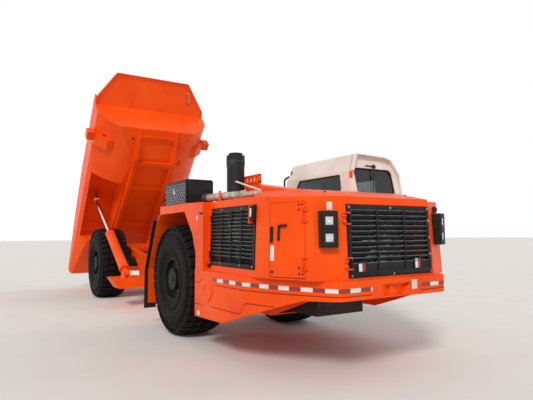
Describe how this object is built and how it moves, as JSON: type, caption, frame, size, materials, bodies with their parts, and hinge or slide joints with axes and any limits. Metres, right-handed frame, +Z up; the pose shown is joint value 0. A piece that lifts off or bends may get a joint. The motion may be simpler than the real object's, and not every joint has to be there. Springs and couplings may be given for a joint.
{
  "type": "articulated underground mining dump truck",
  "caption": "Low articulated underground dump truck, tipped load box, offset cab, four rock tyres, opening grilles and doors.",
  "frame": {"origin": "on the ground under the middle of the standing truck with its box raised", "axes": "+X forward, +Y to the vehicle's left, +Z up"},
  "size_m": [13.4354, 3.72, 6.4541],
  "materials": {
    "orange_paint": "gloss",
    "cab_paint": "gloss",
    "dark_steel": "satin",
    "tyre_rubber": "matte",
    "axle_iron": "satin",
    "chrome_rod": "polished",
    "lagging": "satin",
    "black_plastic": "matte",
    "window_glass": "gloss",
    "seat_cloth": "matte",
    "soft_rubber": "matte"
  },
  "bodies": {
    "front_unit": {"front_frame": "orange_paint", "front_axle": "axle_iron", "skirt_and_bumper": "orange_paint", "upper_body": "orange_paint", "radiator": "dark_steel", "side_cooler": "dark_steel", "cooling_fans": "black_plastic", "wheel_arches": "orange_paint", "engine": "axle_iron", "air_cleaner": "black_plastic", "exhaust_pipe": "lagging", "guarded_box": "dark_steel", "mudguards": "orange_paint", "rubber_strips": "soft_rubber", "cab_shell": "cab_paint", "cab_glass": "window_glass", "seat": "seat_cloth", "cab_controls": "black_plastic", "lamp_clusters": "dark_steel", "lamp_lenses": "window_glass", "lifting_lugs": "orange_paint", "hitch_pins": "dark_steel"},
    "rear_unit": {"rear_frame": "orange_paint", "rear_axle": "axle_iron", "box_pivot_pins": "dark_steel"},
    "box": {"load_box": "orange_paint", "box_underframe": "orange_paint", "rod_brackets": "orange_paint", "box_ears": "orange_paint"},
    "engine_door": {"side_door": "orange_paint"},
    "front_grille_door": {"front_grille": "dark_steel"},
    "side_grille_door": {"side_grille": "dark_steel"},
    "operator_door": {"cab_door": "cab_paint"},
    "wheel_front_left": {"tyre_front_left": "tyre_rubber", "rim_front_left": "dark_steel"},
    "wheel_front_right": {"tyre_front_right": "tyre_rubber", "rim_front_right": "dark_steel"},
    "wheel_rear_left": {"tyre_rear_left": "tyre_rubber", "rim_rear_left": "dark_steel"},
    "wheel_rear_right": {"tyre_rear_right": "tyre_rubber", "rim_rear_right": "dark_steel"},
    "hoist_cylinder_left": {"hoist_barrel_left": "orange_paint"},
    "hoist_ram_left": {"hoist_rod_left": "chrome_rod"},
    "steer_cylinder_left": {"steer_barrel_left": "orange_paint"},
    "steer_ram_left": {"steer_rod_left": "chrome_rod"},
    "hoist_cylinder_right": {"hoist_barrel_right": "orange_paint"},
    "hoist_ram_right": {"hoist_rod_right": "chrome_rod"},
    "steer_cylinder_right": {"steer_barrel_right": "orange_paint"},
    "steer_ram_right": {"steer_rod_right": "chrome_rod"}
  },
  "joints": [
    {"name": "fold", "type": "hinge", "parent": "front_unit", "child": "rear_unit", "pos_m": [0.777, 0, 0.9], "axis": [0, 0, 1], "range_deg": [-42, 42]},
    {"name": "tip", "type": "hinge", "parent": "rear_unit", "child": "box", "pos_m": [-4.723, 0, 1.2], "axis": [0, -1, 0], "range_deg": [-50, 0]},
    {"name": "roll_front_left", "type": "hinge", "parent": "front_unit", "child": "wheel_front_left", "pos_m": [2.677, 1.1, 0.99], "axis": [0, 1, 0], "continuous": true},
    {"name": "roll_front_right", "type": "hinge", "parent": "front_unit", "child": "wheel_front_right", "pos_m": [2.677, -1.1, 0.99], "axis": [0, 1, 0], "continuous": true},
    {"name": "roll_rear_left", "type": "hinge", "parent": "rear_unit", "child": "wheel_rear_left", "pos_m": [-3.483, 1.1, 0.99], "axis": [0, 1, 0], "continuous": true},
    {"name": "roll_rear_right", "type": "hinge", "parent": "rear_unit", "child": "wheel_rear_right", "pos_m": [-3.483, -1.1, 0.99], "axis": [0, 1, 0], "continuous": true},
    {"name": "hoist_turn_left", "type": "hinge", "parent": "rear_unit", "child": "hoist_cylinder_left", "pos_m": [-1.043, 1.23, 0.845], "axis": [0, -1, 0], "range_deg": [-0.05, 0.90727]},
    {"name": "hoist_slide_left", "type": "slide", "parent": "hoist_cylinder_left", "child": "hoist_ram_left", "axis": [-0.8589, 0, 0.5122], "range_m": [-1.45622, 0]},
    {"name": "steer_turn_left", "type": "hinge", "parent": "front_unit", "child": "steer_cylinder_left", "pos_m": [1.777, 0.46, 0.9], "axis": [0, 0, 1], "range_deg": [-8.16, 8.16]},
    {"name": "steer_slide_left", "type": "slide", "parent": "steer_cylinder_left", "child": "steer_ram_left", "axis": [-0.9971, -0.0767, 0], "range_m": [-0.27239, 0.27239]},
    {"name": "hoist_turn_right", "type": "hinge", "parent": "rear_unit", "child": "hoist_cylinder_right", "pos_m": [-1.043, -1.23, 0.845], "axis": [0, -1, 0], "range_deg": [-0.05, 0.90727]},
    {"name": "hoist_slide_right", "type": "slide", "parent": "hoist_cylinder_right", "child": "hoist_ram_right", "axis": [-0.8589, 0, 0.5122], "range_m": [-1.45622, 0]},
    {"name": "steer_turn_right", "type": "hinge", "parent": "front_unit", "child": "steer_cylinder_right", "pos_m": [1.777, -0.46, 0.9], "axis": [0, 0, 1], "range_deg": [-8.16, 8.16]},
    {"name": "steer_slide_right", "type": "slide", "parent": "steer_cylinder_right", "child": "steer_ram_right", "axis": [-0.9971, 0.0767, 0], "range_m": [-0.27239, 0.27239]},
    {"name": "open_side_door", "type": "hinge", "parent": "front_unit", "child": "engine_door", "pos_m": [6.34356, -1.19433, 1.725], "axis": [-0.0424, 0.0424, 0.9982], "range_deg": [0, 110]},
    {"name": "open_front_grille", "type": "hinge", "parent": "front_unit", "child": "front_grille_door", "pos_m": [6.65405, -0.692, 1.71], "axis": [-0.0424, 0, 0.9991], "range_deg": [-100, 0]},
    {"name": "open_side_grille", "type": "hinge", "parent": "front_unit", "child": "side_grille_door", "pos_m": [4.28, -1.41992, 1.76], "axis": [0, 0.0424, 0.9991], "range_deg": [-100, 0]},
    {"name": "open_cab_door", "type": "hinge", "parent": "front_unit", "child": "operator_door", "pos_m": [4.864, 1.642, 2.15], "axis": [0, 0, 1], "range_deg": [-85, 0]}
  ],
  "couplings": [
    {"joint": "hoist_turn_left", "follows": "tip", "ratio": -0.017145},
    {"joint": "hoist_slide_left", "follows": "tip", "m_per_rad": 1.6676},
    {"joint": "steer_turn_left", "follows": "fold", "ratio": 0.19298},
    {"joint": "steer_slide_left", "follows": "fold", "m_per_rad": 0.37023},
    {"joint": "hoist_turn_right", "follows": "tip", "ratio": -0.017145},
    {"joint": "hoist_slide_right", "follows": "tip", "m_per_rad": 1.6676},
    {"joint": "steer_turn_right", "follows": "fold", "ratio": 0.19298},
    {"joint": "steer_slide_right", "follows": "fold", "m_per_rad": -0.37023}
  ]
}
